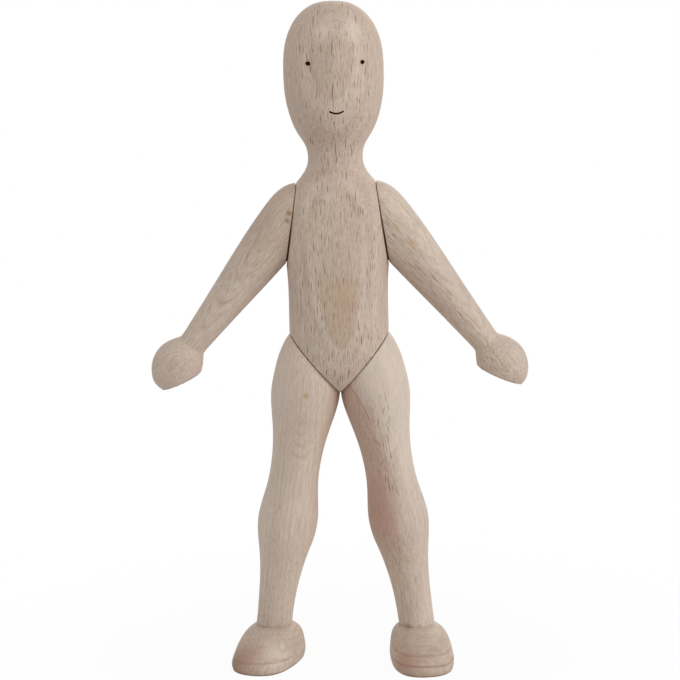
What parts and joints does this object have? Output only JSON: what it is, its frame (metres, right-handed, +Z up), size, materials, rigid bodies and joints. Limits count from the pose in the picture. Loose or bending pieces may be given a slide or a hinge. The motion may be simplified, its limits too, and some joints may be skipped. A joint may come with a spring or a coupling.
{
  "type": "wooden figurine",
  "caption": "Pale beech figurine that stands on flat feet, with arms and legs that turn on sawn flats at the shoulders and hips.",
  "frame": {"origin": "middle of the bounding box's underside, on the floor under the figure", "axes": "+Z up, +X towards the figure's own left hand, -Y the way it faces"},
  "size_m": [0.122, 0.0389, 0.2186],
  "materials": {
    "beech": "sanded, unvarnished",
    "hard_beech": "turned, waxed",
    "elastic": "braided, matte",
    "tinned_steel": "tinned"
  },
  "bodies": {
    "torso": {"body": "beech", "shoulder_cord": "elastic", "hip_cord": "elastic"},
    "left_arm": {"arm_left": "beech", "shoulder_bush_left": "hard_beech", "shoulder_ferrule_left": "tinned_steel"},
    "right_arm": {"arm_right": "beech", "shoulder_bush_right": "hard_beech", "shoulder_ferrule_right": "tinned_steel"},
    "left_leg": {"leg_left": "beech", "hip_bush_left": "hard_beech", "hip_ferrule_left": "tinned_steel"},
    "right_leg": {"leg_right": "beech", "hip_bush_right": "hard_beech", "hip_ferrule_right": "tinned_steel"}
  },
  "joints": [
    {"name": "left_shoulder", "type": "hinge", "parent": "torso", "child": "left_arm", "pos_m": [0.0145, 0.00132, 0.147], "axis": [-0.9901, 0, -0.1404], "continuous": true},
    {"name": "right_shoulder", "type": "hinge", "parent": "torso", "child": "right_arm", "pos_m": [-0.0145, 0.00132, 0.147], "axis": [-0.9901, 0, 0.1404], "continuous": true},
    {"name": "left_hip", "type": "hinge", "parent": "torso", "child": "left_leg", "pos_m": [0.00775, 0.00132, 0.1018], "axis": [-0.7648, 0, 0.6443], "range_deg": [-60, 110]},
    {"name": "right_hip", "type": "hinge", "parent": "torso", "child": "right_leg", "pos_m": [-0.00775, 0.00132, 0.1018], "axis": [-0.7648, 0, -0.6443], "range_deg": [-60, 110]}
  ]
}
